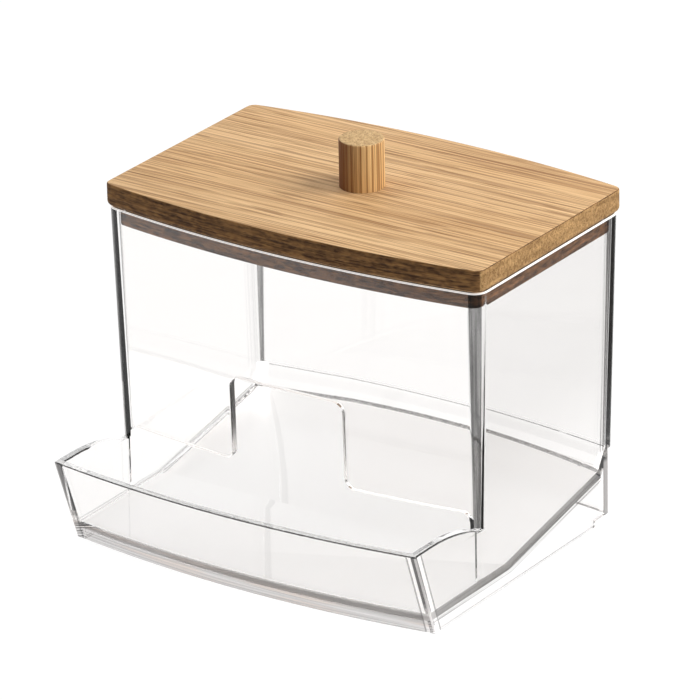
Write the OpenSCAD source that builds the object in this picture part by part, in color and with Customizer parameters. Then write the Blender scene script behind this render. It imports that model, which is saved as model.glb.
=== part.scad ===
// Cotton swab box: a clear moulded box with a bowed front and back, a sloped floor that
// leads down to an open tray, and a bamboo lid board with a dowel knob.
// Millimetres. Z is up, the box stands on Z = 0, and the tray faces -Y.

/* [Clear box: chamber] */
// Outer width of the box at its foot
base_width = 116.2; // [98:0.1:140]
// Height of the chamber's rim above the table
rim_height = 89.2; // [76:0.1:107]
// Distance from the middle to the chamber's outer corners at the rim, front to back
chamber_half_depth = 34.4; // [29:0.1:41]
// How far the front and back walls bow out beyond their corners
wall_bow = 5.2; // [2:0.1:8]
// Wall thickness of the moulding
wall = 2.4; // [1.8:0.1:3]
// Lean of the chamber's outer and inner faces, in degrees
draft_angle = 1.5; // [0.5:0.1:2.2]
// Outer corner radius at the rim
corner_radius = 4.2; // [3.6:0.1:6]
// Inner corner radius at the rim
inner_corner_radius = 3; // [2.6:0.1:4]

/* [Clear box: floor and skirt] */
// Height at which the back wall forks into the floor and the skirt
fork_height = 21.1; // [19:0.1:25]
// Width of the small land between the back wall's inner face and the floor's steep strip
fork_land = 0.4; // [0.2:0.1:0.8]
// How far the back skirt below the fork sits in from the back wall above it
skirt_inset = 1.2; // [0.8:0.1:1.6]
// Height of the crease between the floor's steep back strip and its long slope
crease_height = 15.3; // [13:0.1:17]
// Distance from the back wall's inner face forward to the crease
crease_run = 4.1; // [3:0.1:6]
// Height of the tray's floor
tray_floor_height = 6.2; // [5:0.1:7.4]
// Distance from the chamber's middle forward to the foot of the long slope
slope_foot = 18.5; // [15:0.1:24]
// Height of the relief in the foot at the back
foot_relief_height = 1.6; // [1:0.1:2.4]
// Distance from the chamber's middle back to where the relief starts
foot_relief_start = 24; // [20:0.1:27]

/* [Clear box: tray] */
// Distance from the chamber's middle to the tray's front corners at the table
tray_front = 55; // [47:0.1:64]
// Height of the tray's front and side walls
tray_height = 25.7; // [23:0.1:29]
// Lean of the tray's front wall, in degrees
tray_lean_angle = 19.4; // [12:0.1:26]
// Bow of the tray's front wall beyond its corners
tray_bow = 4.9; // [2:0.1:8]
// Distance from the chamber's middle to where the side walls' top edge turns level
shoulder_front = 56; // [48:0.1:60]

/* [Clear box: dispensing slot] */
// Height of the front wall's lower edge
slot_height = 25.5; // [23:0.1:29]
// Width of the finger notch in the front wall
notch_width = 36; // [28:0.1:44]
// Height of the finger notch's top edge
notch_height = 50; // [42:0.1:56]
// Radius of the slot's and the notch's corners
slot_corner_radius = 2.8; // [2:0.1:4]
// Land left standing between the slot's ends and the side walls
slot_land = 0.5; // [0.4:0.1:3]

/* [Lid] */
// How far the lid board reaches past the box at the sides
lid_overhang = 0.25; // [0.1:0.05:1.5]
// Thickness of the lid board's visible edge
lid_edge = 6.6; // [5:0.1:8]
// Depth of the step that drops into the box
plug_depth = 5.3; // [4:0.1:7]
// Play between the step and the box's inner faces at the rim
plug_play = 0.5; // [0.3:0.05:0.9]
// Plan radius of the lid board's corners
lid_corner_radius = 2.6; // [2:0.1:4]
// Width of the eased edge round the lid board's underside
lid_under_ease = 1.6; // [0.8:0.1:1.9]
// Width of the eased edge round the lid board's top
lid_top_ease = 0.4; // [0.2:0.1:1]

/* [Knob] */
// Diameter of the dowel knob
knob_diameter = 12.3; // [10:0.1:15]
// Height of the knob above the lid board
knob_height = 13.6; // [11:0.1:17]
// Depth of the blind hole that the knob is glued into
knob_seat_depth = 6; // [4:0.1:8]
// Play on the radius between the knob and its hole
knob_seat_play = 0.05; // [0.02:0.01:0.1]
// Width of the eased edge round the knob's top
knob_ease = 0.5; // [0.2:0.1:1]

/* [Hidden] */

// Overlap that carries a cut clear of the faces it opens
slack = 1;
// Longest reach used for blocks that only trim another shape
reach = 120;
// Steps round a full circle, for the long bows and for the corners
arc_steps = 96;
corner_steps = 48;

// Sizes that several faces share are held to a micron, so that the faces meet cleanly
function micron(size) = round(size * 1000) / 1000;

// Radius of the arc that bows by `bow` over a width of twice `half`
function bow_radius(half, bow) = micron((half * half + bow * bow) / (2 * bow));

chamber_height = rim_height - fork_height;
draft_growth = micron(chamber_height * tan(draft_angle));
base_half = base_width / 2;
rim_half = base_half + draft_growth;

rim_bow_radius = bow_radius(rim_half, wall_bow);
foot_bow_radius = rim_bow_radius - draft_growth;
foot_corner_radius = corner_radius - draft_growth;
bow_axis = rim_bow_radius - wall_bow - chamber_half_depth;

// Distance from the middle to a bow's corner line, whose arc has radius `swing`
function swing_depth(swing, corner_x) = sqrt(swing * swing - corner_x * corner_x);

// Distance from the middle to the centres of a block's rounded corners
function corner_depth(half, radius, corner) =
    micron(swing_depth(radius - corner, half - corner) - bow_axis);

// Distance from the middle to the axis of a block's bows, so that they meet those corners
function block_axis(half, radius, corner) =
    swing_depth(radius - corner, half - corner) - corner_depth(half, radius, corner);

room_half = base_half - wall;
room_bow_radius = foot_bow_radius - wall;
room_corner_radius = inner_corner_radius - draft_growth;
room_axis = block_axis(room_half, room_bow_radius, room_corner_radius);

tray_radius = bow_radius(base_half, tray_bow);
tray_centre = tray_radius - tray_bow - tray_front;
tray_lean = tan(tray_lean_angle);
tray_growth = tray_height * tray_lean;

// The side walls' top edge is an arc that leaves the level part smoothly
// and comes down to the fork's height at the chamber's front corners
foot_corner_y = swing_depth(foot_bow_radius, base_half) - bow_axis;
shoulder_run = shoulder_front - foot_corner_y;
shoulder_drop = tray_height - fork_height;
shoulder_radius = (pow(shoulder_run, 2) + pow(shoulder_drop, 2)) / (2 * shoulder_drop);

back_inner_corner = swing_depth(room_bow_radius, room_half) - room_axis;
strip_radius = room_bow_radius - fork_land;
steep_slope = (crease_run - fork_land) / (fork_height - crease_height);
crease_y = back_inner_corner - crease_run;
floor_angle = atan((crease_height - tray_floor_height) / (crease_y + slope_foot));

lid_half = rim_half + lid_overhang;
lid_radius = rim_bow_radius + lid_overhang;
lid_top = rim_height + lid_edge;
plug_inset = wall + plug_play;

front_extent = tray_radius + tray_growth - tray_centre;
back_extent = lid_radius - bow_axis;
frame_shift = (front_extent - back_extent) / 2;

// A slab along Y whose half width grows from `low` to `high`
module side_slab(low, high, z, height, depth) {
    translate([0, depth, z])
        rotate([90, 0, 0])
            linear_extrude(2 * depth)
                polygon([[-low, 0], [low, 0], [high, height], [-high, height]]);
}

// A block with bowed front and back, plain sides and rounded corners.
// `half`, `radius` and `corner` are its half width, the bows' radius and the corners'
// radius at height z, and all of its faces spread by `growth` over its height.
module bowed_block(half, radius, corner, z, height, growth) {
    corner_x = half - corner;
    corner_y = corner_depth(half, radius, corner);
    axis = block_axis(half, radius, corner);
    low = radius * corner_x / (radius - corner);
    high = (radius + growth) * corner_x / (radius - corner);

    intersection() {
        bow_drum(radius, radius + growth, z, height, axis);
        bow_drum(radius, radius + growth, z, height, -axis);
        side_slab(low, high, z, height, reach);
    }
    side_slab(half, half + growth, z, height, corner_y);
    for (side = [0, 1], end = [0, 1])
        mirror([side, 0, 0])
            mirror([0, end, 0])
                difference() {
                    intersection() {
                        translate([corner_x, corner_y, z])
                            cylinder(r1 = corner, r2 = corner + growth, h = height, $fn = corner_steps);
                        translate([0, corner_y, z])
                            cube([reach, reach, height]);
                    }
                    side_slab(low, high, z, height, reach);
                }
}

// A round drum about an upright axis at Y = `axis`, whose skin is a bowed face.
// Its place is made of a coarse and a fine step, and both keep all of their digits.
module bow_drum(low, high, z, height, axis) {
    translate([0, micron(axis), z])
        translate([0, axis - micron(axis), 0])
            cylinder(r1 = low, r2 = high, h = height, $fn = arc_steps);
}

// Profile seen from the side, extruded over a half width
module side_profile(half) {
    translate([-half, 0, 0])
        rotate([90, 0, 90])
            linear_extrude(2 * half)
                children();
}

// Everything inside the tray's leaning front face, `inset` behind it
module tray_front_drum(inset) {
    translate([0, tray_centre, -slack])
        cylinder(r1 = tray_radius - inset - slack * tray_lean,
                 r2 = tray_radius - inset + (tray_height + slack) * tray_lean,
                 h = tray_height + 2 * slack, $fn = arc_steps);
}

// Outline of the base from the side: level tray walls, arched shoulders, chamber foot
module base_outline() {
    translate([-reach, 0])
        square([reach - shoulder_front, tray_height]);
    intersection() {
        translate([-shoulder_front, 0])
            square([shoulder_run + slack, tray_height + slack]);
        translate([-shoulder_front, tray_height - shoulder_radius])
            circle(shoulder_radius, $fn = arc_steps);
    }
    translate([-foot_corner_y - slack, 0])
        square([reach, fork_height]);
}

module base_solid() {
    intersection() {
        side_profile(base_half) base_outline();
        union() {
            intersection() {
                tray_front_drum(0);
                translate([-base_half, -reach, 0])
                    cube([base_width, reach, reach]);
            }
            translate([0, -skirt_inset, 0])
                bowed_block(base_half, foot_bow_radius, foot_corner_radius, 0, fork_height, 0);
        }
    }
}

// Air above the floor from the tray's front wall to the chamber's back wall
module room_above_floor() {
    intersection() {
        side_profile(room_half)
            polygon([
                [-reach, tray_floor_height],
                [-slope_foot, tray_floor_height],
                [crease_y, crease_height],
                [crease_y + reach, crease_height + reach * tan(floor_angle)],
                [crease_y + reach, reach],
                [-reach, reach]
            ]);
        tray_front_drum(wall);
        back_room();
    }
}

// Space in front of the back wall, which leans forward below the fork
module back_room() {
    bow_drum(strip_radius - fork_height * steep_slope, strip_radius, 0, fork_height, -room_axis);
    bow_drum(room_bow_radius, room_bow_radius, fork_height, reach, -room_axis);
}

// Air below the floor, open at the table
module room_below_floor() {
    skin = wall / cos(floor_angle);
    strip_bottom = strip_radius + wall / cos(atan(steep_slope));
    skirt_radius = room_bow_radius - skirt_inset;
    intersection() {
        side_profile(room_half)
            polygon([
                [-reach, -slack],
                [-reach, tray_floor_height - wall],
                [-slope_foot + wall * tan(floor_angle / 2), tray_floor_height - wall],
                [crease_y, crease_height - skin],
                [crease_y + reach, crease_height - skin + reach * tan(floor_angle)],
                [crease_y + reach, -slack]
            ]);
        tray_front_drum(wall);
        bow_drum(skirt_radius, skirt_radius, -slack, fork_height + slack, -room_axis);
    }
    // Narrow hollow between the steep strip and the skirt
    intersection() {
        translate([-room_half, 0, tray_floor_height])
            cube([2 * room_half, reach, fork_height - tray_floor_height]);
        difference() {
            bow_drum(skirt_radius, skirt_radius, 0, fork_height, -room_axis);
            bow_drum(strip_bottom - fork_height * steep_slope, strip_bottom, 0, fork_height,
                     -room_axis);
        }
    }
}

// The chamber's walls, whose inner faces lean like the outer ones
module chamber_shell() {
    difference() {
        bowed_block(base_half, foot_bow_radius, foot_corner_radius, fork_height,
                    chamber_height, draft_growth);
        bowed_block(room_half, room_bow_radius, room_corner_radius, fork_height,
                    chamber_height, draft_growth);
    }
    // Returns of the front wall that run down beside the slot
    intersection() {
        difference() {
            bowed_block(base_half, foot_bow_radius, foot_corner_radius, tray_floor_height - slack,
                        fork_height - tray_floor_height + slack, 0);
            bowed_block(room_half, room_bow_radius, room_corner_radius, 0, fork_height, 0);
        }
        translate([-base_half, -reach, 0])
            cube([base_width, reach - slope_foot, fork_height]);
    }
}

// The slot under the front wall and the finger notch above it, seen from the front
module slot_outline() {
    half = room_half - slot_land;
    r = slot_corner_radius;
    notch_half = notch_width / 2;
    difference() {
        union() {
            translate([-half, tray_floor_height])
                square([2 * half, slot_height - r - tray_floor_height]);
            translate([-half + r, tray_floor_height])
                square([2 * (half - r), slot_height - tray_floor_height]);
            for (side = [-1, 1])
                translate([side * (half - r), slot_height - r])
                    circle(r, $fn = corner_steps);
            translate([-notch_half - r, slot_height - slack])
                square([notch_width + 2 * r, slack + r]);
            translate([-notch_half, slot_height])
                square([notch_width, notch_height - r - slot_height]);
            translate([-notch_half + r, slot_height])
                square([notch_width - 2 * r, notch_height - slot_height]);
            for (side = [-1, 1])
                translate([side * (notch_half - r), notch_height - r])
                    circle(r, $fn = corner_steps);
        }
        for (side = [-1, 1])
            translate([side * (notch_half + r), slot_height + r])
                circle(r, $fn = corner_steps);
    }
}

module slot_cut() {
    translate([0, -slope_foot, 0])
        rotate([90, 0, 0])
            linear_extrude(reach)
                slot_outline();
}

module clear_box() {
    color([0.93, 0.95, 0.96, 0.35])
        difference() {
            union() {
                difference() {
                    base_solid();
                    room_above_floor();
                    room_below_floor();
                }
                difference() {
                    chamber_shell();
                    slot_cut();
                }
            }
            translate([-reach, foot_relief_start, -slack])
                cube([2 * reach, reach, slack + foot_relief_height]);
        }
}

module lid_board() {
    color([0.74, 0.53, 0.32])
        difference() {
            union() {
                bowed_block(lid_half - lid_under_ease, lid_radius - lid_under_ease,
                            lid_corner_radius - lid_under_ease, rim_height, lid_under_ease,
                            lid_under_ease);
                bowed_block(lid_half, lid_radius, lid_corner_radius, rim_height + lid_under_ease,
                            lid_edge - lid_under_ease - lid_top_ease, 0);
                bowed_block(lid_half, lid_radius, lid_corner_radius, lid_top - lid_top_ease,
                            lid_top_ease, -lid_top_ease);
                bowed_block(rim_half - plug_inset, rim_bow_radius - plug_inset,
                            inner_corner_radius - plug_play, rim_height - plug_depth,
                            plug_depth + slack, 0);
            }
            translate([0, 0, lid_top - knob_seat_depth])
                cylinder(d = knob_diameter + 2 * knob_seat_play, h = knob_seat_depth + slack,
                         $fn = arc_steps);
        }
}

module lid_knob() {
    color([0.66, 0.44, 0.25])
        translate([0, 0, lid_top - knob_seat_depth]) {
            cylinder(d = knob_diameter, h = knob_seat_depth + knob_height - knob_ease,
                     $fn = arc_steps);
            translate([0, 0, knob_seat_depth + knob_height - knob_ease])
                cylinder(d1 = knob_diameter, d2 = knob_diameter - 2 * knob_ease,
                         h = knob_ease, $fn = arc_steps);
        }
}

translate([0, frame_shift, 0]) {
    clear_box();
    lid_board();
    lid_knob();
}
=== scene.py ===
"""Looks for a clear cotton swab box with a bamboo lid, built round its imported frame."""

from __future__ import annotations

import logging
import math
from collections.abc import Callable, Iterable, Sequence
from dataclasses import dataclass, field
from enum import Enum

import bmesh
import bpy
from mathutils import Matrix, Vector


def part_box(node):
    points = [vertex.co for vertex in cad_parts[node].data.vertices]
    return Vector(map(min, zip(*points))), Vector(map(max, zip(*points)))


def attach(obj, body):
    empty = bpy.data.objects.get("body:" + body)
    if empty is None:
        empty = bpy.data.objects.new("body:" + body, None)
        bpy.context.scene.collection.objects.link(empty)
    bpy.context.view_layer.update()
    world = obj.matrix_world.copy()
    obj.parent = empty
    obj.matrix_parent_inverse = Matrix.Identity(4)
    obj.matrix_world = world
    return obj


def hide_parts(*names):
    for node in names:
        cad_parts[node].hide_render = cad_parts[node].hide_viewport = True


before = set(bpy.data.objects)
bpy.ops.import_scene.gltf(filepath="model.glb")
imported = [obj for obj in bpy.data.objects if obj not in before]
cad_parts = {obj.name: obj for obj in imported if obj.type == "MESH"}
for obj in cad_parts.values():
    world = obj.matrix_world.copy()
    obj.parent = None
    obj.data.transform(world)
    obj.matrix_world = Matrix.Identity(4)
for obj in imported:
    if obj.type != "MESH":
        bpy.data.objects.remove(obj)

LOG = logging.getLogger("swab_box")
MM = 0.001

Colour = tuple[float, float, float]
Point = tuple[float, float]


# ---------------------------------------------------------------- shader tools


class Signal:
    """A node socket that adds a Math node for each operator used on it."""

    def __init__(self, maker: "NodeMaker", socket: bpy.types.NodeSocket) -> None:
        """Wraps a socket.

        Args:
            maker: the maker whose tree the socket is in.
            socket: an output socket that carries a number.
        """
        self.maker = maker
        self.socket = socket

    def _math(self, operation: str, *values: "Signal | float", clamp: bool = False) -> "Signal":
        """Adds one Math node.

        Args:
            operation: the node's operation.
            values: its inputs, in order.
            clamp: whether the result is held between 0 and 1.

        Returns:
            The node's result.
        """
        inputs = {i: v for i, v in enumerate(values)}
        return self.maker.value("ShaderNodeMath", {"operation": operation, "use_clamp": clamp}, inputs)

    def __add__(self, other: "Signal | float") -> "Signal":
        """The sum."""
        return self._math("ADD", self, other)

    def __radd__(self, other: float) -> "Signal":
        """The sum, with the number first."""
        return self._math("ADD", other, self)

    def __sub__(self, other: "Signal | float") -> "Signal":
        """The difference."""
        return self._math("SUBTRACT", self, other)

    def __rsub__(self, other: float) -> "Signal":
        """The difference, with the number first."""
        return self._math("SUBTRACT", other, self)

    def __mul__(self, other: "Signal | float") -> "Signal":
        """The product."""
        return self._math("MULTIPLY", self, other)

    def __rmul__(self, other: float) -> "Signal":
        """The product, with the number first."""
        return self._math("MULTIPLY", other, self)

    def at_least(self, other: "Signal | float") -> "Signal":
        """The larger of the two."""
        return self._math("MAXIMUM", self, other)

    def power(self, exponent: float) -> "Signal":
        """The value raised to a power."""
        return self._math("POWER", self, exponent)

    def clamped(self) -> "Signal":
        """The value held between 0 and 1."""
        return self._math("ADD", self, 0.0, clamp=True)

    def step(self, low: float, high: float) -> "Signal":
        """A smooth step.

        Args:
            low: the value at which the step starts.
            high: the value at which it ends; it may be the smaller one.

        Returns:
            0 before the step and 1 after it.
        """
        settings = {"interpolation_type": "SMOOTHSTEP"}
        inputs = {"Value": self, "From Min": low, "From Max": high}
        return self.maker.value("ShaderNodeMapRange", settings, inputs)


class NodeMaker:
    """Adds nodes to one material or world."""

    def __init__(self, tree: bpy.types.NodeTree) -> None:
        """Empties a node tree.

        Args:
            tree: the tree to fill.
        """
        self.tree = tree
        tree.nodes.clear()

    def node(
        self,
        kind: str,
        settings: dict[str, object] | None = None,
        inputs: dict[str | int, object] | None = None,
    ) -> bpy.types.Node:
        """Adds a node.

        Args:
            kind: the node's type.
            settings: its properties, set first.
            inputs: values, Signals or sockets for its inputs, by name or place.

        Returns:
            The node.
        """
        made = self.tree.nodes.new(kind)
        for name, value in (settings or {}).items():
            setattr(made, name, value)
        for name, value in (inputs or {}).items():
            socket = made.inputs[name]
            if isinstance(value, Signal):
                self.tree.links.new(value.socket, socket)
            elif isinstance(value, bpy.types.NodeSocket):
                self.tree.links.new(value, socket)
            else:
                socket.default_value = value
        return made

    def value(
        self,
        kind: str,
        settings: dict[str, object] | None = None,
        inputs: dict[str | int, object] | None = None,
        output: str | int = 0,
    ) -> Signal:
        """Adds a node and wraps one output that carries a number."""
        return Signal(self, self.node(kind, settings, inputs).outputs[output])

    def placed(self, scale: Colour, shift: Colour = (0.0, 0.0, 0.0)) -> bpy.types.NodeSocket:
        """Object coordinates through a Mapping node.

        Args:
            scale: how many pattern units there are to a metre, along each axis.
            shift: the pattern's place.

        Returns:
            The mapped vector.
        """
        coordinates = self.node("ShaderNodeTexCoord").outputs["Object"]
        inputs = {"Vector": coordinates, "Scale": scale, "Location": shift}
        return self.node("ShaderNodeMapping", {}, inputs).outputs["Vector"]

    def noise(self, vector: bpy.types.NodeSocket, detail: float = 2.0, roughness: float = 0.5) -> Signal:
        """A noise pattern on a vector.

        Args:
            vector: where the pattern is read.
            detail: its octaves.
            roughness: how strong the finer octaves are.

        Returns:
            The pattern, about 0 to 1.
        """
        inputs = {"Vector": vector, "Scale": 1.0, "Detail": detail, "Roughness": roughness}
        return self.value("ShaderNodeTexNoise", {}, inputs)

    def cells(self, vector: bpy.types.NodeSocket) -> Signal:
        """Distance to the nearest point of a scatter on a vector."""
        inputs = {"Vector": vector, "Scale": 1.0, "Randomness": 1.0}
        return self.value("ShaderNodeTexVoronoi", {}, inputs, "Distance")

    def blend(self, factor: Signal | float, first: object, second: object) -> bpy.types.NodeSocket:
        """Blends two colours.

        Args:
            factor: the share of the second colour.
            first: a linear colour or a colour socket.
            second: a linear colour or a colour socket.

        Returns:
            The blended colour.
        """
        first = (*first, 1.0) if isinstance(first, tuple) else first
        second = (*second, 1.0) if isinstance(second, tuple) else second
        settings = {"data_type": "RGBA", "blend_type": "MIX", "clamp_factor": True}
        return self.node("ShaderNodeMix", settings, {0: factor, 6: first, 7: second}).outputs[2]

    def bump(self, height: Signal, strength: float, distance: float) -> bpy.types.NodeSocket:
        """A bump of a height pattern.

        Args:
            height: the pattern.
            strength: how strongly it shows.
            distance: the relief's depth, in metres.

        Returns:
            The bumped normal.
        """
        inputs = {"Height": height, "Strength": strength, "Distance": distance}
        return self.node("ShaderNodeBump", {}, inputs).outputs["Normal"]

    def surface(self, shader: bpy.types.Node, kind: str = "ShaderNodeOutputMaterial") -> None:
        """Ends the tree in an output node."""
        self.node(kind, {}, {"Surface": shader.outputs[0]})


def linear(red: int, green: int, blue: int) -> Colour:
    """A linear colour from the usual 0 to 255 screen values."""

    def one(level: int) -> float:
        share = level / 255
        return share / 12.92 if share <= 0.04045 else ((share + 0.055) / 1.055) ** 2.4

    return one(red), one(green), one(blue)


# -------------------------------------------------------------------- finishes


class BoardFace(Enum):
    """A kind of face on the lid board, by how the saw met the bamboo's fibres."""

    TOP = "top"
    LONG_EDGE = "long_edge"
    END = "end"
    STEP = "step"


@dataclass(frozen=True)
class Bamboo:
    """Carbonised bamboo with fibres along X, seen on the flat, along an edge or on an end."""

    pale: Colour = linear(234, 196, 147)
    mid: Colour = linear(202, 158, 108)
    deep: Colour = linear(122, 80, 44)
    # The edge colours are the sawn fibres' own darker tone, darkened further as painted shade.
    edge_fibres_and_shade: Colour = linear(156, 114, 68)
    edge_gaps_and_shade: Colour = linear(72, 46, 24)
    # The step colours are the sawn fibres' tone, darkened further as painted shade where the step sits under the lid
    # inside the box.
    step_fibres_and_shade: Colour = linear(154, 106, 64)
    step_gaps_and_shade: Colour = linear(62, 38, 20)
    end_light: Colour = linear(214, 172, 118)
    end_dark: Colour = linear(126, 92, 54)
    strip_width: float = 0.0215

    def material(self, face: BoardFace) -> bpy.types.Material:
        """Makes the finish of one kind of face.

        Args:
            face: the kind of face.

        Returns:
            The material.
        """
        made = bpy.data.materials.new(f"bamboo_{face.value}")
        made.use_nodes = True
        maker = NodeMaker(made.node_tree)
        paint = {
            BoardFace.TOP: self._flat_grain,
            BoardFace.LONG_EDGE: self._edge_grain,
            BoardFace.END: self._end_grain,
            BoardFace.STEP: self._step_grain,
        }[face]
        colour, roughness, normal = paint(maker)
        inputs = {"Base Color": colour, "Roughness": roughness, "Normal": normal, "Specular IOR Level": 0.2}
        maker.surface(maker.node("ShaderNodeBsdfPrincipled", {}, inputs))
        return made

    def _fibres(self, maker: NodeMaker) -> tuple[Signal, Signal, Signal]:
        """Streaks along X that start and stop, as fibre bundles do.

        Args:
            maker: the material's maker.

        Returns:
            Broad soft streaks, fine streaks, and short dark dashes, each 0 to 1.
        """
        broad = maker.noise(maker.placed((6.0, 330.0, 330.0)), 2.0, 0.55)
        fine = maker.noise(maker.placed((16.0, 1500.0, 1500.0), shift=(3.0, 7.0, 1.0)), 3.0, 0.75)
        dash = maker.noise(maker.placed((50.0, 1150.0, 1150.0), shift=(11.0, 2.0, 5.0)), 1.0, 0.5).step(0.6, 0.68)
        return broad.step(0.3, 0.7), fine.step(0.38, 0.62), dash

    def _flat_grain(self, maker: NodeMaker) -> tuple[object, object, object]:
        """The board's top and underside.

        Args:
            maker: the material's maker.

        Returns:
            Base colour, roughness and normal.
        """
        broad, fine, dash = self._fibres(maker)
        strips = maker.noise(maker.placed((0.9, 1 / self.strip_width, 0.0), shift=(0.0, 0.3, 0.0)), 0.0)
        cloud = maker.noise(maker.placed((14.0, 30.0, 30.0), shift=(5.0, 5.0, 5.0)), 2.0)
        thin = maker.noise(maker.placed((7.0, 1000.0, 1000.0), shift=(8.0, 1.0, 2.0)), 1.0, 0.5).step(0.59, 0.66)
        tone = (0.14 * broad + 0.5 * fine + 0.4 * strips.step(0.25, 0.75) + 0.4 * cloud - 0.2).clamped()
        colour = maker.blend(tone, self.mid, self.pale)
        colour = maker.blend((1.0 - fine).power(1.6) * 0.46, colour, self.deep)
        colour = maker.blend(thin * 0.52, colour, self.deep)
        colour = maker.blend(dash * 0.45, colour, linear(104, 66, 34))
        relief = 0.8 * fine - 0.7 * dash
        return colour, 0.6 - 0.1 * tone + 0.12 * dash, maker.bump(relief, 0.45, 0.00014)

    def _edge_grain(self, maker: NodeMaker) -> tuple[object, object, object]:
        """The front and back edges, where the fibres were sawn along their length: darker for the sawn fibres' own
        tone and darker again as painted shade.

        Args:
            maker: the material's maker.

        Returns:
            Base colour, roughness and normal.
        """
        return self._sawn(maker, self.edge_gaps_and_shade, self.edge_fibres_and_shade)

    def _step_grain(self, maker: NodeMaker) -> tuple[object, object, object]:
        """The step that drops into the box, milled from the board: the sawn fibres' tone, darkened further as painted
        shade where it sits under the lid inside the box.

        Args:
            maker: the material's maker.

        Returns:
            Base colour, roughness and normal.
        """
        return self._sawn(maker, self.step_gaps_and_shade, self.step_fibres_and_shade)

    @staticmethod
    def _sawn(maker: NodeMaker, dark: Colour, light: Colour) -> tuple[object, object, object]:
        """Fibres laid open along their length by a saw.

        Args:
            maker: the material's maker.
            dark: the colour between the fibres.
            light: the fibres' colour.

        Returns:
            Base colour, roughness and normal.
        """
        broad = maker.noise(maker.placed((26.0, 0.0, 900.0)), 2.0, 0.6).step(0.34, 0.66)
        fine = maker.noise(maker.placed((150.0, 150.0, 1700.0), shift=(2.0, 4.0, 8.0)), 2.0, 0.65).step(0.38, 0.62)
        patch = maker.noise(maker.placed((420.0, 420.0, 900.0), shift=(1.0, 9.0, 3.0)), 2.0).step(0.36, 0.66)
        tone = (0.3 * broad + 0.5 * fine + 0.4 * patch - 0.15).clamped()
        colour = maker.blend(tone, dark, light)
        return colour, 0.66 - 0.08 * tone, maker.bump(broad + 0.6 * fine + 0.5 * patch, 0.6, 0.0002)

    def _end_grain(self, maker: NodeMaker) -> tuple[object, object, object]:
        """The two ends, where the cut fibre bundles show as dots.

        Args:
            maker: the material's maker.

        Returns:
            Base colour, roughness and normal.
        """
        dots = maker.cells(maker.placed((260.0, 1500.0, 1500.0))).step(0.42, 0.16)
        fuzz = maker.noise(maker.placed((300.0, 900.0, 900.0), shift=(4.0, 4.0, 4.0)), 3.0, 0.65).step(0.3, 0.72)
        layers = maker.noise(maker.placed((0.0, 110.0, 420.0), shift=(0.0, 1.0, 2.0)), 1.0).step(0.3, 0.7)
        tone = (0.5 * fuzz + 0.3 * layers + 0.1).clamped()
        colour = maker.blend(tone, self.end_dark, self.end_light)
        colour = maker.blend(dots * 0.5, colour, linear(92, 64, 36))
        return colour, 0.72, maker.bump(fuzz - 0.8 * dots, 0.6, 0.0002)


@dataclass(frozen=True)
class Dowel:
    """Bamboo dowel with upright fibres, its side painted lighter toward +X as painted light and darker toward -X as
    painted shade.
    """

    # pale streaks only the painted lit side; dark is painted shade on the other side and also the end grain's real
    # dots.
    pale: Colour = linear(250, 208, 146)
    mid: Colour = linear(150, 98, 50)
    dark: Colour = linear(106, 58, 26)
    top_pale: Colour = linear(216, 184, 136)
    top_mid: Colour = linear(166, 130, 86)

    def side(self) -> bpy.types.Material:
        """Makes the finish of the dowel's round side, with pale streaks toward +X as painted light and dark toward -X
        as painted shade.

        Returns:
            The material.
        """
        made = bpy.data.materials.new("dowel_side")
        made.use_nodes = True
        maker = NodeMaker(made.node_tree)
        across = maker.node("ShaderNodeSeparateXYZ", {}, {"Vector": maker.placed((1.0, 1.0, 1.0))}).outputs["X"]
        # skin here runs from 0 on the -X side to 1 on the +X side: painted light and shade by where the key lamp
        # stands, not the dowel's own colour.
        skin = Signal(maker, across).step(-0.0046, 0.0052)
        broad = maker.noise(maker.placed((1400.0, 1400.0, 8.0)), 2.0, 0.55).step(0.42, 0.58)
        fine = maker.noise(maker.placed((2100.0, 2100.0, 60.0), shift=(3.0, 1.0, 0.0)), 2.0, 0.6).step(0.3, 0.7)
        colour = maker.blend((skin * (0.2 + 1.0 * broad) + 0.3 * fine - 0.1).clamped(), self.mid, self.pale)
        colour = maker.blend(((1.0 - skin) * (0.65 + 0.35 * fine)).clamped(), colour, self.dark)
        inputs = {
            "Base Color": colour,
            "Roughness": 0.5 + 0.12 * fine,
            "Normal": maker.bump(0.5 * broad + fine, 0.5, 0.00015),
            "Specular IOR Level": 0.35,
        }
        maker.surface(maker.node("ShaderNodeBsdfPrincipled", {}, inputs))
        return made

    def end(self) -> bpy.types.Material:
        """Makes the finish of the dowel's sawn top.

        Returns:
            The material.
        """
        made = bpy.data.materials.new("dowel_end")
        made.use_nodes = True
        maker = NodeMaker(made.node_tree)
        dots = maker.cells(maker.placed((1500.0, 1500.0, 200.0))).step(0.46, 0.14)
        fuzz = maker.noise(maker.placed((800.0, 800.0, 200.0)), 3.0, 0.6).step(0.3, 0.7)
        colour = maker.blend((0.35 + 0.6 * fuzz).clamped(), self.top_mid, self.top_pale)
        colour = maker.blend(dots * 0.55, colour, self.dark)
        inputs = {
            "Base Color": colour,
            "Roughness": 0.7,
            "Normal": maker.bump(fuzz - dots, 0.5, 0.00015),
            "Specular IOR Level": 0.3,
        }
        maker.surface(maker.node("ShaderNodeBsdfPrincipled", {}, inputs))
        return made


class PlasticZone(Enum):
    """A zone of the clear moulding."""

    WALL = "wall"
    EDGE = "edge"
    CREASE = "crease"
    CORNER = "corner"
    CORNER_INSIDE = "corner_inside"
    CORNER_SIDE = "corner_side"
    RIM = "rim"
    SATIN = "satin"
    SLOT = "slot"
    TRAY_RIM = "tray_rim"
    TRAY_FRONT = "tray_front"
    TRAY_TOP = "tray_top"
    TRAY_CORNER = "tray_corner"
    SKIRT_CORNER = "skirt_corner"
    SIDE = "side"


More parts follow.
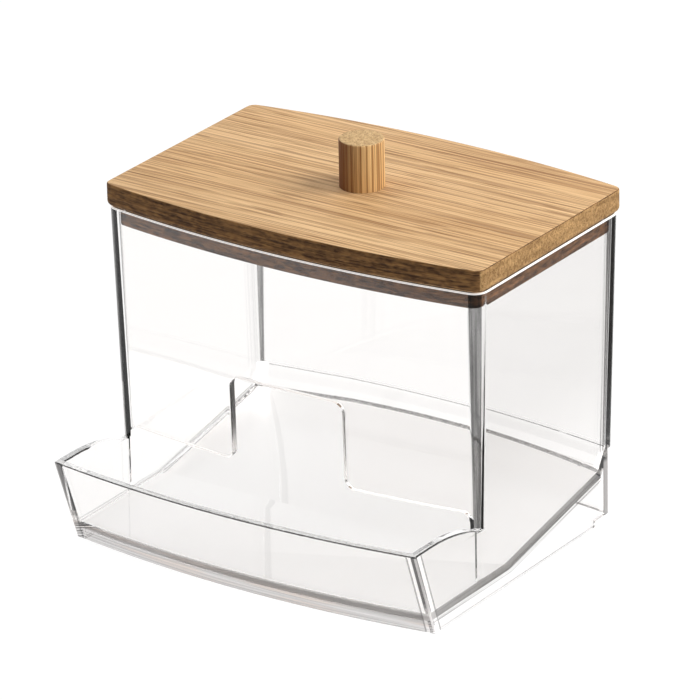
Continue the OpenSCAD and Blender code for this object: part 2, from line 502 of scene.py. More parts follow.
@dataclass(frozen=True)
class Clarity:
    """How one zone of the moulding lets light through; a low tint is painted dark reflection and any glow is painted
    light.
    """

    tint: float
    streaked: float = 0.3
    roughness: float = 0.012
    haze: float = 0.0
    glow: float = 0.0


@dataclass(frozen=True)
class ClearPlastic:
    """Clear polished plastic, whose thick rounded corners look grey; that grey, and the grey of its edges and
    creases, is painted in as dark reflections, and some zones carry a painted glow.
    """

    middle_y: float
    fork: float = 21.1
    tray_floor: float = 6.2
    slope_foot: float = 18.5
    slope: float = 0.196
    wall: float = 2.4
    base_half: float = 58.1
    tray_front: float = 55.0
    tray_lean: float = 0.352
    index: float = 1.49
    # warmth is the plastic's own faint tint; the next colour is painted shade for dark lines and the last is the
    # colour of the painted glow.
    warmth: Colour = (1.0, 0.991, 0.985)
    shade: Colour = (0.05, 0.048, 0.047)
    painted_glow_colour: Colour = (1.0, 0.96, 0.94)

    def clarity(self, zone: PlasticZone) -> Clarity:
        """How one zone lets light through.

        Args:
            zone: the zone.

        Returns:
            Its tint, streaks, roughness, haze and the strength of its painted glow.
        """
        # The low tints on the edges, creases, corners and the tray's rim, top and corners are painted dark
        # reflections of the surroundings; every glow above 0 is painted light on a part that is no lamp.
        return {
            PlasticZone.WALL: Clarity(0.985),
            PlasticZone.EDGE: Clarity(0.8, 0.5),
            PlasticZone.CREASE: Clarity(0.06, 0.15),
            PlasticZone.CORNER: Clarity(0.03, 0.12),
            PlasticZone.CORNER_INSIDE: Clarity(0.6, 0.9),
            PlasticZone.CORNER_SIDE: Clarity(0.95, 0.5),
            PlasticZone.RIM: Clarity(1.0, 0.0, 0.2, 0.75, 0.42),
            PlasticZone.SATIN: Clarity(0.97, 0.3, 0.42),
            PlasticZone.SLOT: Clarity(1.0, 0.0, 0.25, 0.5, 0.42),
            PlasticZone.TRAY_RIM: Clarity(0.16, 0.5),
            PlasticZone.TRAY_FRONT: Clarity(0.985, 0.3, 0.012, 0.0, 1.0),
            PlasticZone.TRAY_TOP: Clarity(0.4, 0.6),
            PlasticZone.TRAY_CORNER: Clarity(0.9, 0.3, 0.15, 0.3, 0.3),
            PlasticZone.SKIRT_CORNER: Clarity(0.98, 0.3, 0.012, 0.0, 0.4),
            PlasticZone.SIDE: Clarity(0.985, 0.3, 0.012, 0.0, 1.0),
        }[zone]

    def material(self, zone: PlasticZone) -> bpy.types.Material:
        """Makes the finish of one zone.

        Args:
            zone: the zone.

        Returns:
            The material.
        """
        made = bpy.data.materials.new(f"clear_{zone.value}")
        made.use_nodes = True
        maker = NodeMaker(made.node_tree)
        look = self.clarity(zone)
        full = tuple(look.tint * part for part in self.warmth)
        faint = tuple((look.tint + look.streaked * (1 - look.tint)) * part for part in self.warmth)
        streak = maker.noise(maker.placed((1300.0, 1300.0, 5.0)), 2.0, 0.6).step(0.4, 0.62)
        flow = maker.noise(maker.placed((22.0, 22.0, 16.0), shift=(2.0, 0.0, 1.0)), 2.0)
        colour = maker.blend(streak, full, faint)
        # The emission is a painted glow: this colour, or the masks of the tray front and sides.
        glow: object = (*self.painted_glow_colour, 1.0)
        if zone is PlasticZone.TRAY_FRONT:
            colour, glow = self._front(maker, colour)
        if zone is PlasticZone.SIDE:
            colour, glow = self._side(maker, colour)
        inputs = {
            "Base Color": colour,
            "Roughness": look.roughness + 0.02 * flow,
            "Normal": maker.bump(flow, 0.05, 0.0002),
            "IOR": self.index,
            "Transmission Weight": 1.0 - look.haze,
            "Emission Color": glow,
            "Emission Strength": look.glow,
        }
        clear = maker.node("ShaderNodeBsdfPrincipled", {}, inputs)
        shade = maker.node("ShaderNodeBsdfTransparent", {}, {"Color": (*(0.93 * p for p in self.warmth), 1.0)})
        shadow = maker.node("ShaderNodeLightPath").outputs["Is Shadow Ray"]
        inputs = {0: shadow, 1: clear.outputs[0], 2: shade.outputs[0]}
        maker.surface(maker.node("ShaderNodeMixShader", {}, inputs))
        return made

    def _spot(self, maker: NodeMaker) -> tuple[Signal, Signal, Signal]:
        """Where a point lies, in millimetres about the chamber's middle.

        Args:
            maker: the material's maker.

        Returns:
            Its X, Y and Z.
        """
        vector = maker.placed((1000.0, 1000.0, 1000.0), shift=(0.0, -1000.0 * self.middle_y, 0.0))
        outputs = maker.node("ShaderNodeSeparateXYZ", {}, {"Vector": vector}).outputs
        return Signal(maker, outputs["X"]), Signal(maker, outputs["Y"]), Signal(maker, outputs["Z"])

    def _front(self, maker: NodeMaker, colour: object) -> tuple[object, object]:
        """The tray's front, painted grey at its foot as painted shade standing in for the floor seen along its
        thickness.

        Args:
            maker: the material's maker.
            colour: the colour above the foot.

        Returns:
            The colour, and the painted glow of the ends.
        """
        x, _, z = self._spot(maker)
        # Painted shade: grey streaks at the foot in place of the floor seen through the plastic.
        low = z.step(self.tray_floor + 0.5, self.tray_floor - 0.6)
        lines = maker.noise(maker.placed((9.0, 0.0, 1300.0)), 2.0, 0.7).step(0.38, 0.62)
        warm = maker.noise(maker.placed((30.0, 0.0, 300.0), shift=(4.0, 0.0, 1.0)), 1.0).step(0.45, 0.6)
        grey = maker.blend(warm, linear(168, 164, 164), linear(176, 152, 138))
        grey = maker.blend(lines, linear(84, 78, 76), grey)
        colour = maker.blend(low * 0.85, colour, grey)
        # Painted shade outline where the inner wall faces would show through, and a painted glow beyond them.
        inner = (x * x).power(0.5) - (self.base_half - self.wall)
        outline = inner.step(-0.5, -0.2) * inner.step(0.3, 0.0)
        ends = inner.step(-0.1, 0.3) * 0.12
        return maker.blend(outline * 0.8, colour, self.shade), maker.blend(ends, (0.0, 0.0, 0.0), self.painted_glow_colour)

    def _side(self, maker: NodeMaker, colour: object) -> tuple[object, object]:
        """The flat sides, painted with dark lines as painted shade where the ends of the walls and the floor are seen
        along their thickness.

        Args:
            maker: the material's maker.
            colour: the colour of the plain wall.

        Returns:
            The colour, and the light that the ends gather.
        """
        x, y, z = self._spot(maker)
        lines = maker.noise(maker.placed((0.0, 1500.0, 5.0)), 2.0, 0.6).step(0.42, 0.58)
        # Painted shade: dark bands for the back wall's top, the floor and the tray front seen through the side.
        back = y.step(25.6, 26.4) * z.step(self.fork - 0.5, self.fork + 0.5) * (0.2 + 0.8 * x.step(-20.0, 20.0))
        slant = z - (y + self.slope_foot).at_least(0.0) * self.slope
        vector = maker.node("ShaderNodeCombineXYZ", {}, {"Y": y * 0.01, "Z": slant * 1.7}).outputs[0]
        grain = maker.noise(vector, 2.0, 0.6).step(0.4, 0.6)
        floor = slant.step(self.tray_floor + 0.3, self.tray_floor) * slant.step(self.tray_floor - 2.9, self.tray_floor - 2.5)
        floor = floor * y.step(27.5, 26.5)
        ahead = z * -self.tray_lean - y - (self.tray_front - self.wall)
        outline = ahead.step(-0.7, -0.3) * ahead.step(0.3, -0.1) * 0.8
        dark = (back * (0.3 + 0.7 * lines)).at_least(floor * (0.15 + 0.8 * grain)).at_least(outline)
        # Painted glow ahead of the tray front's inner face and at the back below the fork.
        light = ahead.step(-0.2, 0.3) * 0.2 + y.step(27.6, 28.6) * z.step(self.fork - 2.0, self.fork - 4.0) * 0.4
        return maker.blend(dark, colour, self.shade), maker.blend(light, (0.0, 0.0, 0.0), self.painted_glow_colour)


# ------------------------------------------------------------------ mesh tools


class Join(Enum):
    """How one solid acts on another."""

    ADD = "UNION"
    CUT = "DIFFERENCE"
    KEEP = "INTERSECT"


class Bench:
    """Turns bmeshes drawn in millimetres into solids, and works one on another."""

    @staticmethod
    def solid(bm: bmesh.types.BMesh, name: str) -> bpy.types.Object:
        """Closes a bmesh and makes an object of it.

        Args:
            bm: the bmesh, which is freed.
            name: the object's name.

        Returns:
            The object.
        """
        bmesh.ops.remove_doubles(bm, verts=bm.verts, dist=1e-4)
        bmesh.ops.recalc_face_normals(bm, faces=bm.faces)
        mesh = bpy.data.meshes.new(name)
        bm.to_mesh(mesh)
        bm.free()
        made = bpy.data.objects.new(name, mesh)
        bpy.context.scene.collection.objects.link(made)
        return made

    @staticmethod
    def work(base: bpy.types.Object, tool: bpy.types.Object, how: Join) -> bpy.types.Object:
        """Works one solid on another, and uses the tool up.

        Args:
            base: the solid that is kept.
            tool: the solid that is added, cut or intersected.
            how: which of these.

        Returns:
            The base.
        """
        modifier = base.modifiers.new(how.name.lower(), "BOOLEAN")
        modifier.operation = how.value
        modifier.solver = "EXACT"
        modifier.object = tool
        Bench.settle(base)
        bpy.data.objects.remove(tool)
        return base

    @staticmethod
    def settle(piece: bpy.types.Object) -> None:
        """Applies a piece's modifiers."""
        bpy.context.view_layer.update()
        graph = bpy.context.evaluated_depsgraph_get()
        mesh = bpy.data.meshes.new_from_object(piece.evaluated_get(graph))
        piece.modifiers.clear()
        old = piece.data
        piece.data = mesh
        bpy.data.meshes.remove(old)

    @staticmethod
    def prism(points: Iterable[Point], low: float, high: float, name: str) -> bpy.types.Object:
        """Extrudes a side view along X.

        Args:
            points: the side view's (y, z) corners.
            low: where it starts, in X.
            high: where it ends, in X.
            name: the object's name.

        Returns:
            The solid.
        """
        bm = bmesh.new()
        face = bm.faces.new([bm.verts.new((low, y, z)) for y, z in points])
        Bench.push(bm, face, (high - low, 0, 0))
        return Bench.solid(bm, name)

    @staticmethod
    def push(bm: bmesh.types.BMesh, face: bmesh.types.BMFace, step: Colour) -> None:
        """Extrudes a face by a step, and keeps the first face as the far cap."""
        out = bmesh.ops.extrude_face_region(bm, geom=[face], use_keep_orig=True)
        bmesh.ops.translate(bm, vec=step, verts=[g for g in out["geom"] if isinstance(g, bmesh.types.BMVert)])

    @staticmethod
    def sector(profile: Sequence[Point], centre: float, ahead: bool, turn: float, name: str) -> bpy.types.Object:
        """Spins a profile about an upright axis through part of a turn.

        Args:
            profile: (radius, z) corners.
            centre: the axis's place in Y.
            ahead: whether the sector lies ahead of its axis, towards -Y.
            turn: half of the angle that it spans, in radians.
            name: the object's name.

        Returns:
            The solid.
        """
        bm = bmesh.new()
        sign = -1 if ahead else 1
        start = Matrix.Rotation(-sign * turn, 3, "Z")
        verts = []
        for radius, z in profile:
            verts.append(bm.verts.new(Vector((0, centre, 0)) + start @ Vector((0, sign * radius, z))))
        face = bm.faces.new(verts)
        geom = [face, *face.edges, *face.verts]
        bmesh.ops.spin(
            bm, geom=geom, cent=(0, centre, 0), axis=(0, 0, 1), angle=2 * sign * turn, steps=72, use_duplicate=False
        )
        edges = [e for e in bm.edges if e.is_boundary]
        if edges:
            bmesh.ops.holes_fill(bm, edges=edges)
        return Bench.solid(bm, name)


@dataclass(frozen=True)
class BowedRing:
    """The outline of a bow-fronted, bow-backed block with rounded corners, in millimetres."""

    half: float
    bow: float
    corner: float
    axis: float

    @classmethod
    def fitted(cls, half: float, half_depth: float, sagitta: float, corner: float) -> "BowedRing":
        """Works out a ring from what can be measured on it.

        Args:
            half: half of its width.
            half_depth: distance from the middle to its unrounded corners, in Y.
            sagitta: how far it bows beyond them.
            corner: the radius of its corners.

        Returns:
            The ring.
        """
        bow = (half * half + sagitta * sagitta) / (2 * sagitta)
        return cls(half, bow, corner, bow - sagitta - half_depth)

    def grown(self, by: float) -> "BowedRing":
        """The ring at the same distance outside this one all round."""
        return BowedRing(self.half + by, self.bow + by, self.corner + by, self.axis)

    def with_corner(self, corner: float) -> "BowedRing":
        """The same ring with other corner rounds."""
        return BowedRing(self.half, self.bow, corner, self.axis)

    def draw(self, bm: bmesh.types.BMesh, z: float, shift_y: float = 0.0) -> list[bmesh.types.BMEdge]:
        """Draws the ring.

        Args:
            bm: the bmesh to draw in.
            z: its height.
            shift_y: how far it is moved along Y.

        Returns:
            Its edges.
        """
        before = set(bm.edges)
        centre_x, swing = self.half - self.corner, self.bow - self.corner
        centre_y = math.sqrt(swing**2 - centre_x**2) - self.axis
        tangent = math.asin(centre_x / swing)
        middle = bm.verts.new((self.half, 0, z))
        start = bm.verts.new((self.half, -centre_y, z))
        bm.edges.new((middle, start))
        turns = (
            ((centre_x, -centre_y, z), tangent - math.pi / 2, 8),
            ((0, self.axis, z), -tangent, 32),
        )
        for centre, angle, steps in turns:
            out = bmesh.ops.spin(bm, geom=[start], cent=centre, axis=(0, 0, 1), angle=angle, steps=steps)
            start = [g for g in out["geom_last"] if isinstance(g, bmesh.types.BMVert)][0]
        for direction in ("X", "Y"):
            edges = [e for e in bm.edges if e not in before]
            verts = list({v for e in edges for v in e.verts})
            bmesh.ops.mirror(bm, geom=edges + verts, matrix=Matrix.Identity(4), merge_dist=1e-3, axis=direction)
        edges = [e for e in bm.edges if e not in before]
        bmesh.ops.translate(bm, vec=(0, shift_y, 0), verts=list({v for e in edges for v in e.verts}))
        return edges


def stacked(levels: Sequence[tuple[BowedRing, float]], name: str, shift_y: float = 0.0) -> bpy.types.Object:
    """Skins a stack of rings and caps it.

    Args:
        levels: the rings and their heights, from the bottom up.
        name: the object's name.
        shift_y: how far the stack is moved along Y.

    Returns:
        The solid.
    """
    bm = bmesh.new()
    loops = [ring.draw(bm, z, shift_y) for ring, z in levels]
    for low, high in zip(loops, loops[1:]):
        bmesh.ops.bridge_loops(bm, edges=low + high)
    for loop in (loops[0], loops[-1]):
        bmesh.ops.contextual_create(bm, geom=loop)
    return Bench.solid(bm, name)


# ---------------------------------------------------------------- the clear box


@dataclass
class ClearBox:
    """The one-piece clear moulding, in millimetres about the chamber's middle."""

    middle_y: float
    base_half: float = 58.1
    rim_height: float = 89.2
    half_depth: float = 34.4
    wall_bow: float = 5.2
    wall: float = 2.4
    draft: float = math.tan(math.radians(1.5))
    corner: float = 4.2
    inner_corner: float = 3.0
    fork: float = 21.1
    skirt_inset: float = 1.2
    crease: float = 15.3
    crease_run: float = 4.1
    land: float = 0.4
    tray_floor: float = 6.2
    slope_foot: float = 18.5
    relief: Point = (24.0, 1.6)
    tray_front: float = 55.0
    tray_height: float = 25.7
    tray_lean: float = math.tan(math.radians(19.4))
    tray_bow: float = 4.9
    shoulder_front: float = 56.0
    slot_height: float = 25.5
    notch_half: float = 18.0
    notch_height: float = 50.0
    slot_round: float = 2.8
    slot_land: float = 0.5
    edge_round: float = 0.42
    crease_round: float = 0.6

    def __post_init__(self) -> None:
        """Works out the rings that the walls follow."""
        self.growth = (self.rim_height - self.fork) * self.draft
        self.rim = BowedRing.fitted(self.base_half + self.growth, self.half_depth, self.wall_bow, self.corner)
        self.foot = self.rim.grown(-self.growth)
        self.room_rim = self.rim.grown(-self.wall).with_corner(self.inner_corner)
        self.room_foot = self.room_rim.grown(-self.growth)
        self.plastic = ClearPlastic(self.middle_y)
        tray = BowedRing.fitted(self.base_half, self.tray_front, self.tray_bow, 0.0)
        self.tray_radius, self.tray_axis = tray.bow, tray.axis

    def _corner_y(self, ring: BowedRing) -> float:
        """Distance from the middle to where a ring's bow would meet its side."""
        return math.sqrt(ring.bow**2 - ring.half**2) - ring.axis

    def _side_view(self) -> list[Point]:
        """The base's outline from the side, with its arched shoulders.

        Returns:
            Its (y, z) corners.
        """
        foot_y = self._corner_y(self.foot)
        run, drop = self.shoulder_front - foot_y, self.tray_height - self.fork
        radius = (run**2 + drop**2) / (2 * drop)
        points = [(-90.0, 0.0), (-90.0, self.tray_height)]
        for step in range(17):
            y = run * step / 16
            z = self.tray_height - radius + math.sqrt(radius**2 - y**2)
            points.append((y - self.shoulder_front, z))
        return [*points, (20.0, self.fork), (20.0, 0.0)]

    def _tray_sector(self, inset: float) -> bpy.types.Object:
        """What lies inside the tray's leaning front face.

        Args:
            inset: distance behind the outer face.

        Returns:
            The solid.
        """
        low, high = -1.0, self.tray_height + 1.0
        radius = self.tray_radius - inset
        profile = [
            (radius - 200, low),
            (radius + low * self.tray_lean, low),
            (radius + high * self.tray_lean, high),
            (radius - 200, high),
        ]
        return Bench.sector(profile, self.tray_axis, True, 0.26, "tray_front")

    def _base(self) -> bpy.types.Object:
        """The tray, the floor and the skirt.

        Returns:
            The solid.
        """
        half, room = self.base_half, self.base_half - self.wall
        base = Bench.prism(self._side_view(), -half, half, "clear_box_piece")
        Bench.work(base, self._tray_sector(0.0), Join.KEEP)
        skirt = stacked([(self.foot, 0.0), (self.foot, self.fork)], "skirt", -self.skirt_inset)
        Bench.work(base, skirt, Join.ADD)

        back_y = self._corner_y(self.room_foot)
        slope = (self.crease_run - self.land) / (self.fork - self.crease)
        crease_y = back_y - self.crease_run
        rise = (self.crease - self.tray_floor) / (crease_y + self.slope_foot)
        above = Bench.prism(
            [
                (-90.0, self.tray_floor),
                (-self.slope_foot, self.tray_floor),
                (crease_y + 20, self.crease + 20 * rise),
                (crease_y + 20, 60.0),
                (-90.0, 60.0),
            ],
            -room,
            room,
            "above",
        )
        tray_room = self._tray_sector(self.wall)
        Bench.work(above, tray_room, Join.KEEP)
        radius, axis = self.room_foot.bow, -self.room_foot.axis
        back = [
            (radius - 200, 0.0),
            (radius - self.land - self.fork * slope, 0.0),
            (radius - self.land, self.fork),
            (radius, self.fork),
            (radius, 70.0),
            (radius - 200, 70.0),
        ]
        Bench.work(above, Bench.sector(back, axis, False, 0.26, "back_room"), Join.KEEP)
        Bench.work(base, above, Join.CUT)

        angle = math.atan(rise)
        skin = self.wall / math.cos(angle)
        below = Bench.prism(
            [
                (-90.0, -1.0),
                (-90.0, self.tray_floor - self.wall),
                (-self.slope_foot + self.wall * math.tan(angle / 2), self.tray_floor - self.wall),
                (crease_y + 20, self.crease - skin + 20 * rise),
                (crease_y + 20, -1.0),
            ],
            -room,
            room,
            "below",
        )
        Bench.work(below, self._tray_sector(self.wall), Join.KEEP)
        skirt_radius = radius - self.skirt_inset
        inside = [(radius - 200, -2.0), (skirt_radius, -2.0), (skirt_radius, 40.0), (radius - 200, 40.0)]
        Bench.work(below, Bench.sector(inside, axis, False, 0.26, "skirt_room"), Join.KEEP)
        Bench.work(base, below, Join.CUT)

        strip = radius - self.land + self.wall * math.sqrt(1 + slope**2)
        apex = self.fork - (strip - skirt_radius) / slope
        wedge = [
            (strip - (self.fork - self.tray_floor) * slope, self.tray_floor),
            (skirt_radius, self.tray_floor),
            (skirt_radius, apex),
        ]
        hollow = Bench.sector(wedge, axis, False, 0.26, "hollow")
        limits = Bench.prism([(0.0, 0.0), (0.0, 30.0), (60.0, 30.0), (60.0, 0.0)], -room, room, "limits")
        Bench.work(hollow, limits, Join.KEEP)
        Bench.work(base, hollow, Join.CUT)
        return base

    def _slot(self) -> bpy.types.Object:
        """The slot under the front wall and the finger notch above it.

        Returns:
            The solid to cut away.
        """
        half = self.base_half - self.wall - self.slot_land
        r, low, high = self.slot_round, self.slot_height, self.notch_height
        notch = self.notch_half
        turns = [
            (half - r, low - r, 0.0, 90.0),
            (notch + r, low + r, 270.0, 180.0),
            (notch - r, high - r, 0.0, 90.0),
        ]
        side: list[Point] = [(half, self.tray_floor)]
        for x, z, first, last in turns:
            for step in range(9):
                angle = math.radians(first + (last - first) * step / 8)
                side.append((x + r * math.cos(angle), z + r * math.sin(angle)))
        outline = side + [(-x, z) for x, z in reversed(side)]
        bm = bmesh.new()
        face = bm.faces.new([bm.verts.new((x, -self.slope_foot, z)) for x, z in outline])
        Bench.push(bm, face, (0, -60, 0))
        return Bench.solid(bm, "slot")

    def _shell(self) -> bpy.types.Object:
        """The chamber's walls, with the front wall open at its foot.

        Returns:
            The solid.
        """
        foot_z = self.tray_floor - 1
        shell = stacked([(self.foot, foot_z), (self.foot, self.fork), (self.rim, self.rim_height)], "shell")
        over = self.draft
        room = stacked(
            [
                (self.room_foot, foot_z - 1),
                (self.room_foot, self.fork),
                (self.room_rim.grown(over), self.rim_height + 1),
            ],
            "room",
        )
        Bench.work(shell, room, Join.CUT)
        rear = [(-self.slope_foot, 0.0), (-self.slope_foot, self.fork), (60.0, self.fork), (60.0, 0.0)]
        Bench.work(shell, Bench.prism(rear, -80.0, 80.0, "rear"), Join.CUT)
        Bench.work(shell, self._slot(), Join.CUT)
        return shell

    def build(self) -> bpy.types.Object:
        """Builds and dresses the moulding.

        Returns:
            The piece.
        """
        piece = self._base()
        Bench.work(piece, self._shell(), Join.ADD)
        start, height = self.relief
        relief = [(start, -1.0), (start, height), (60.0, height), (60.0, -1.0)]
        Bench.work(piece, Bench.prism(relief, -80.0, 80.0, "relief"), Join.CUT)
        self._round_edges(piece)
        self._dress(piece)
        return piece

    def _round_edges(self, piece: bpy.types.Object) -> None:
        """Merges what the cuts left double, rounds the edges and places the moulding.

        Args:
            piece: the moulding.
        """
        bm = bmesh.new()
        bm.from_mesh(piece.data)
        bmesh.ops.remove_doubles(bm, verts=bm.verts, dist=0.02)
        bmesh.ops.dissolve_degenerate(bm, dist=0.01, edges=bm.edges)
        bmesh.ops.dissolve_limit(bm, angle_limit=math.radians(0.15), verts=bm.verts, edges=bm.edges)
        zones = list(PlasticZone)
        creases = [e for e in bm.edges if self._is_crease(e)]
        self._bevel(bm, creases, self.crease_round, zones.index(PlasticZone.CREASE))
        self._bevel(bm, [e for e in bm.edges if self._is_edge(e)], self.edge_round, zones.index(PlasticZone.EDGE))
        for face in bm.faces:
            face.smooth = True
        for edge in bm.edges:
            edge.smooth = self._is_smooth(edge)
        bmesh.ops.scale(bm, vec=(MM, MM, MM), verts=bm.verts)
        bmesh.ops.translate(bm, vec=(0, self.middle_y, 0), verts=bm.verts)
        bm.to_mesh(piece.data)
        bm.free()
        for _ in PlasticZone:
            piece.data.materials.append(None)
        flat = piece.modifiers.new("flat_faces", "WEIGHTED_NORMAL")
        flat.mode = "FACE_AREA"
        flat.weight = 50
        flat.keep_sharp = True
        Bench.settle(piece)

    @staticmethod
    def _bevel(bm: bmesh.types.BMesh, edges: list[bmesh.types.BMEdge], offset: float, slot: int) -> None:
        """Rounds some edges.

        Args:
            bm: the mesh, in millimetres.
            edges: the edges.
            offset: the round's size.
            slot: the material slot of the rounds.
        """
        bmesh.ops.bevel(
            bm,
            geom=edges,
            offset=offset,
            offset_type="OFFSET",
            segments=3,
            profile=0.5,
            affect="EDGES",
            clamp_overlap=False,
            material=slot,
        )

    def _is_crease(self, edge: bmesh.types.BMEdge) -> bool:
        """Whether an edge is the fold between the steep strip and the long slope."""
        middle = (edge.verts[0].co + edge.verts[1].co) / 2
        if len(edge.link_faces) != 2 or abs(middle.z - self.crease) > 2.2 or middle.y < 20:
            return False
        above = all(face.normal.z > 0.1 and face.normal.y < -0.05 for face in edge.link_faces)
        return above and edge.calc_face_angle(0.0) > math.radians(22)

    def _is_edge(self, edge: bmesh.types.BMEdge) -> bool:
        """Whether an edge is sharp in the cut solid and rounded in the moulding."""
        if len(edge.link_faces) != 2 or edge.calc_face_angle(0.0) < math.radians(22):
            return False
        if any(face.material_index for face in edge.link_faces):
            return False
        middle = (edge.verts[0].co + edge.verts[1].co) / 2
        room = self.base_half - self.wall
        on_land = abs(middle.z - self.fork) < 0.1 and middle.y > 25
        by_slot = room - self.slot_land - 0.3 < abs(middle.x) < room + 0.1 and middle.y < -self.slope_foot
        return not on_land and not (by_slot and middle.z < self.slot_height)

    @staticmethod
    def _is_smooth(edge: bmesh.types.BMEdge) -> bool:
        """Whether the shading runs on over an edge, as on rounds and bows but not between flats."""
        angle = edge.calc_face_angle(0.0)
        areas = [face.calc_area() for face in edge.link_faces]
        flats = len(areas) == 2 and min(areas) > 300
        return angle < math.radians(40) and not (flats and angle > math.radians(0.6))

    def _dress(self, piece: bpy.types.Object) -> None:
        """Gives the moulding its finishes and its body.

        Args:
            piece: the moulding.
        """
        for place, zone in enumerate(PlasticZone):
            piece.data.materials[place] = self.plastic.material(zone)
        zones = list(PlasticZone)
        for face in piece.data.polygons:
            zone = self._zone(face, zones[face.material_index])
            face.material_index = zones.index(zone)
        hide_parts("clear_box")
        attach(piece, "box")

    def _zone(self, face: bpy.types.MeshPolygon, now: PlasticZone) -> PlasticZone:
        """The zone that a face belongs to.

        Args:
            face: a face of the placed mesh.
            now: the zone that its round gave it.

        Returns:
            The zone.
        """
        normal, height = face.normal, face.center.z / MM
        side = abs(face.center.x) / MM
        ahead = (self.middle_y - face.center.y) / MM
        if now is PlasticZone.EDGE:
            return self._edge_zone(height, side, ahead, abs(normal.z))
        if now is not PlasticZone.WALL:
            return now
        if normal.y < -0.85 and ahead > 50 and height < self.tray_height:
            return PlasticZone.TRAY_FRONT
        if normal.x * face.center.x > 0 and abs(normal.x) > 0.985:
            return PlasticZone.SIDE if side > self.base_half - 0.5 else PlasticZone.WALL
        if 25 < ahead < 42 and normal.z < -0.9 and side < self.base_half - self.wall - 1:
            return PlasticZone.SLOT if height > self.slot_height - 1 else PlasticZone.WALL
        if normal.z < -0.9 and self.tray_floor - self.wall - 0.1 < height < self.fork:
            return PlasticZone.SATIN
        if abs(normal.x) > 0.99 and abs(side - self.notch_half) < 0.2:
            return PlasticZone.SATIN
        if normal.z > 0.9 and ahead > 50 and height > self.tray_height - 0.3:
            return PlasticZone.TRAY_TOP
        if abs(normal.z) < 0.2 and height > self.fork - 1 and side > self.base_half - 7:
            if 0.2 < abs(normal.x) < 0.85:
                outside = normal.x * face.center.x > 0
                return PlasticZone.CORNER if outside else PlasticZone.CORNER_INSIDE
            if 0.85 <= abs(normal.x) < 0.985:
                return PlasticZone.CORNER_SIDE
        if ahead < -26 and height < self.fork - 1 and side > self.base_half - 4.5 and abs(normal.x) > 0.05:
            return PlasticZone.SKIRT_CORNER
        return PlasticZone.WALL

    def _edge_zone(self, height: float, side: float, ahead: float, tilt: float) -> PlasticZone:
        """The zone of a face on a rounded edge.

        Args:
            height: the face's height, in millimetres.
            side: its distance from the middle, across.
            ahead: its distance ahead of the middle.
            tilt: how far it faces up or down, 0 to 1.

        Returns:
            The zone.
        """
        if height > self.rim_height - 0.6:
            return PlasticZone.RIM
        on_front = 25 < ahead < 42 and side < self.base_half - self.wall - 1
        if on_front and self.slot_height - 0.6 < height < self.notch_height + 0.6 and tilt > 0.3:
            return PlasticZone.SLOT
        if ahead > 40 and height > self.fork + 1:
            return PlasticZone.TRAY_RIM
        if ahead > 50 and 1 < height <= self.fork + 1 and side > self.base_half - 1:
            return PlasticZone.TRAY_CORNER
        return PlasticZone.EDGE


# ---------------------------------------------------------------------- the lid


